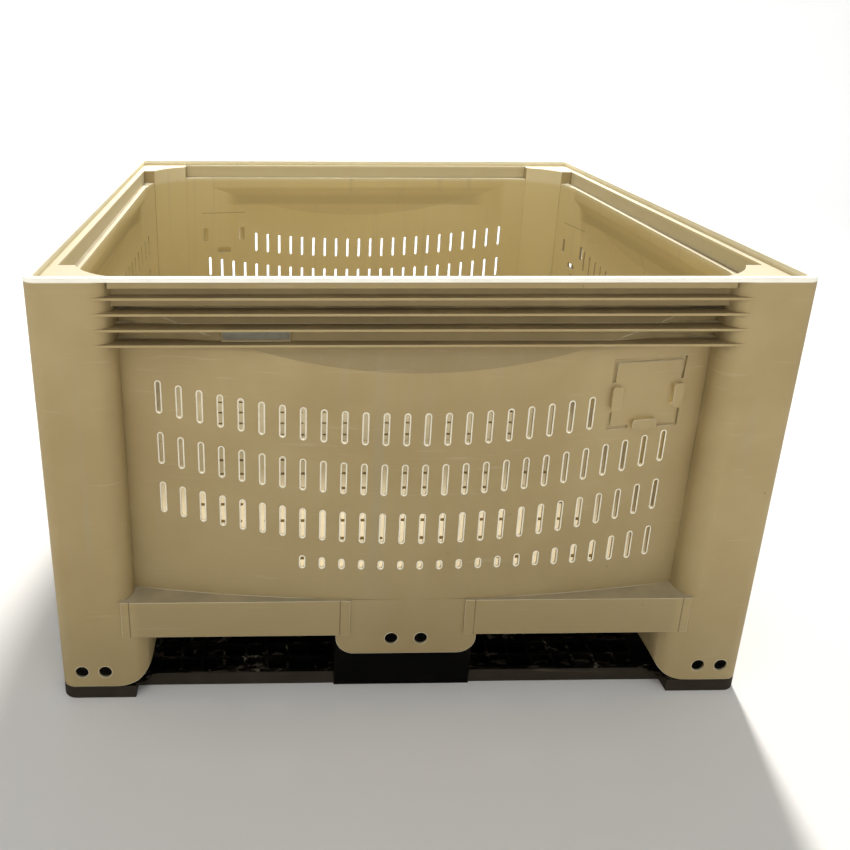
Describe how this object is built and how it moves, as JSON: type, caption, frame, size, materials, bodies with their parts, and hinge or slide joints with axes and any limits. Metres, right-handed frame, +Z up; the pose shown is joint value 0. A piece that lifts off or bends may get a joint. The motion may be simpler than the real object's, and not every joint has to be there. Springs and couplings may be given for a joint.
{
  "type": "vented fruit bin",
  "caption": "Open-topped moulded bulk bin for fruit, with bowed slotted walls, ribbed rim, hollow corner posts, a vented floor and pinned runners under its feet.",
  "frame": {"origin": "middle of the footprint, on the ground under the runners", "axes": "+Z up, +Y from the front end wall to the rear end wall, +X to the right seen from the front"},
  "size_m": [1.13, 1.219, 0.711],
  "materials": {
    "beige_plastic": "moulded, weathered",
    "black_plastic": "moulded, scuffed",
    "plate_metal": "dull"
  },
  "bodies": {
    "root": {"front_half_shell": "beige_plastic", "rear_half_shell": "beige_plastic", "front_runner": "black_plastic", "middle_runner": "black_plastic", "rear_runner": "black_plastic", "front_left_pins": "black_plastic", "front_middle_pins": "black_plastic", "front_right_pins": "black_plastic", "rear_left_pins": "black_plastic", "rear_middle_pins": "black_plastic", "rear_right_pins": "black_plastic", "left_middle_pins": "black_plastic", "right_middle_pins": "black_plastic", "id_plate": "plate_metal"}
  },
  "joints": []
}
